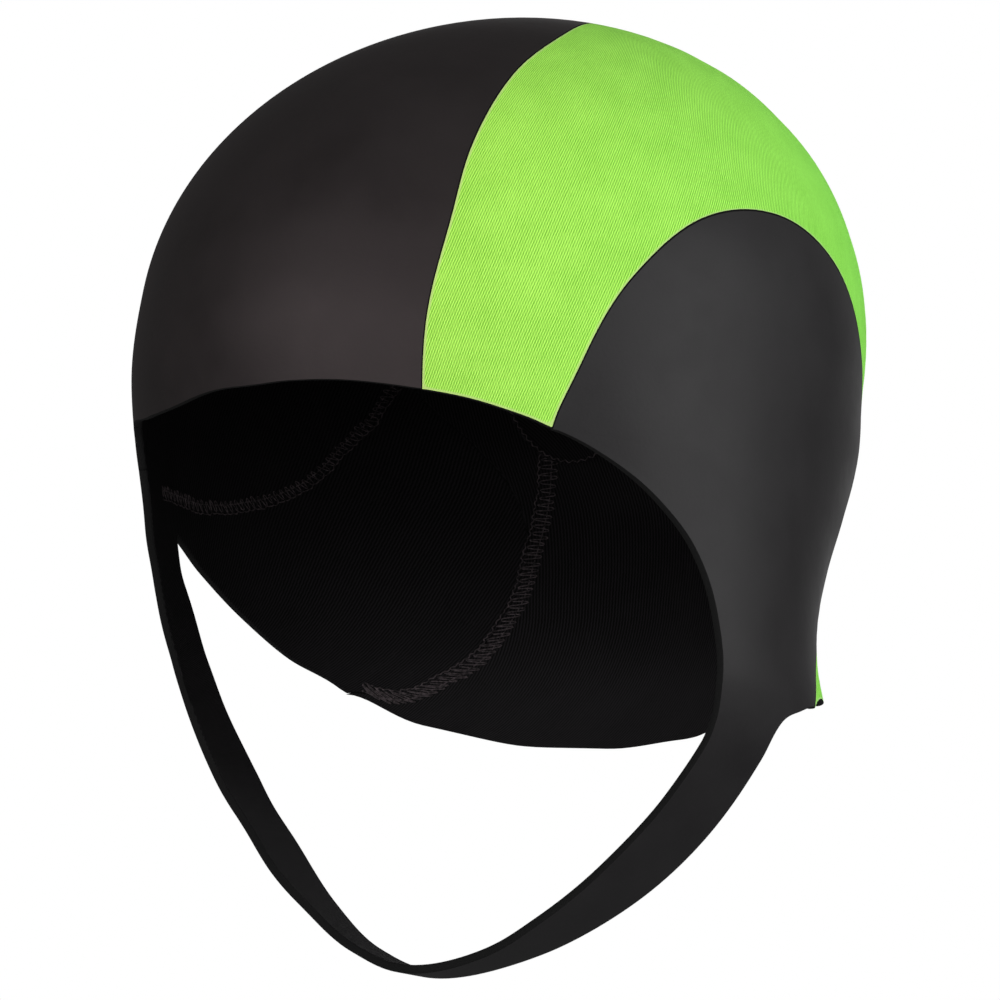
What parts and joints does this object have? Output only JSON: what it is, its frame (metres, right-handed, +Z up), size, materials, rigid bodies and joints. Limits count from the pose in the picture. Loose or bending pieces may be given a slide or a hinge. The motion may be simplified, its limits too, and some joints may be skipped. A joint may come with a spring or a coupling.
{
  "type": "neoprene swim cap with chin strap",
  "caption": "Close-fitting neoprene swim cap with a contrasting crown panel, ear panels and a broad chin strap, in the round form it takes on a head.",
  "frame": {"origin": "middle of the head at the height of the cap's brow edge, where the cap sits on its wearer", "axes": "+Z up through the crown, -Y out of the forehead, +X towards the wearer's left ear"},
  "size_m": [0.1612, 0.1947, 0.2341],
  "materials": {
    "front_smoothskin": "satin smoothskin neoprene",
    "crown_jersey": "ribbed jersey on neoprene",
    "ear_smoothskin": "matte smoothskin neoprene",
    "patch_jersey": "fine ribbed jersey"
  },
  "bodies": {
    "root": {"front_panel": "front_smoothskin", "crown_panel": "crown_jersey", "ear_panels_chin_strap": "ear_smoothskin", "inner_patch": "patch_jersey"}
  },
  "joints": []
}
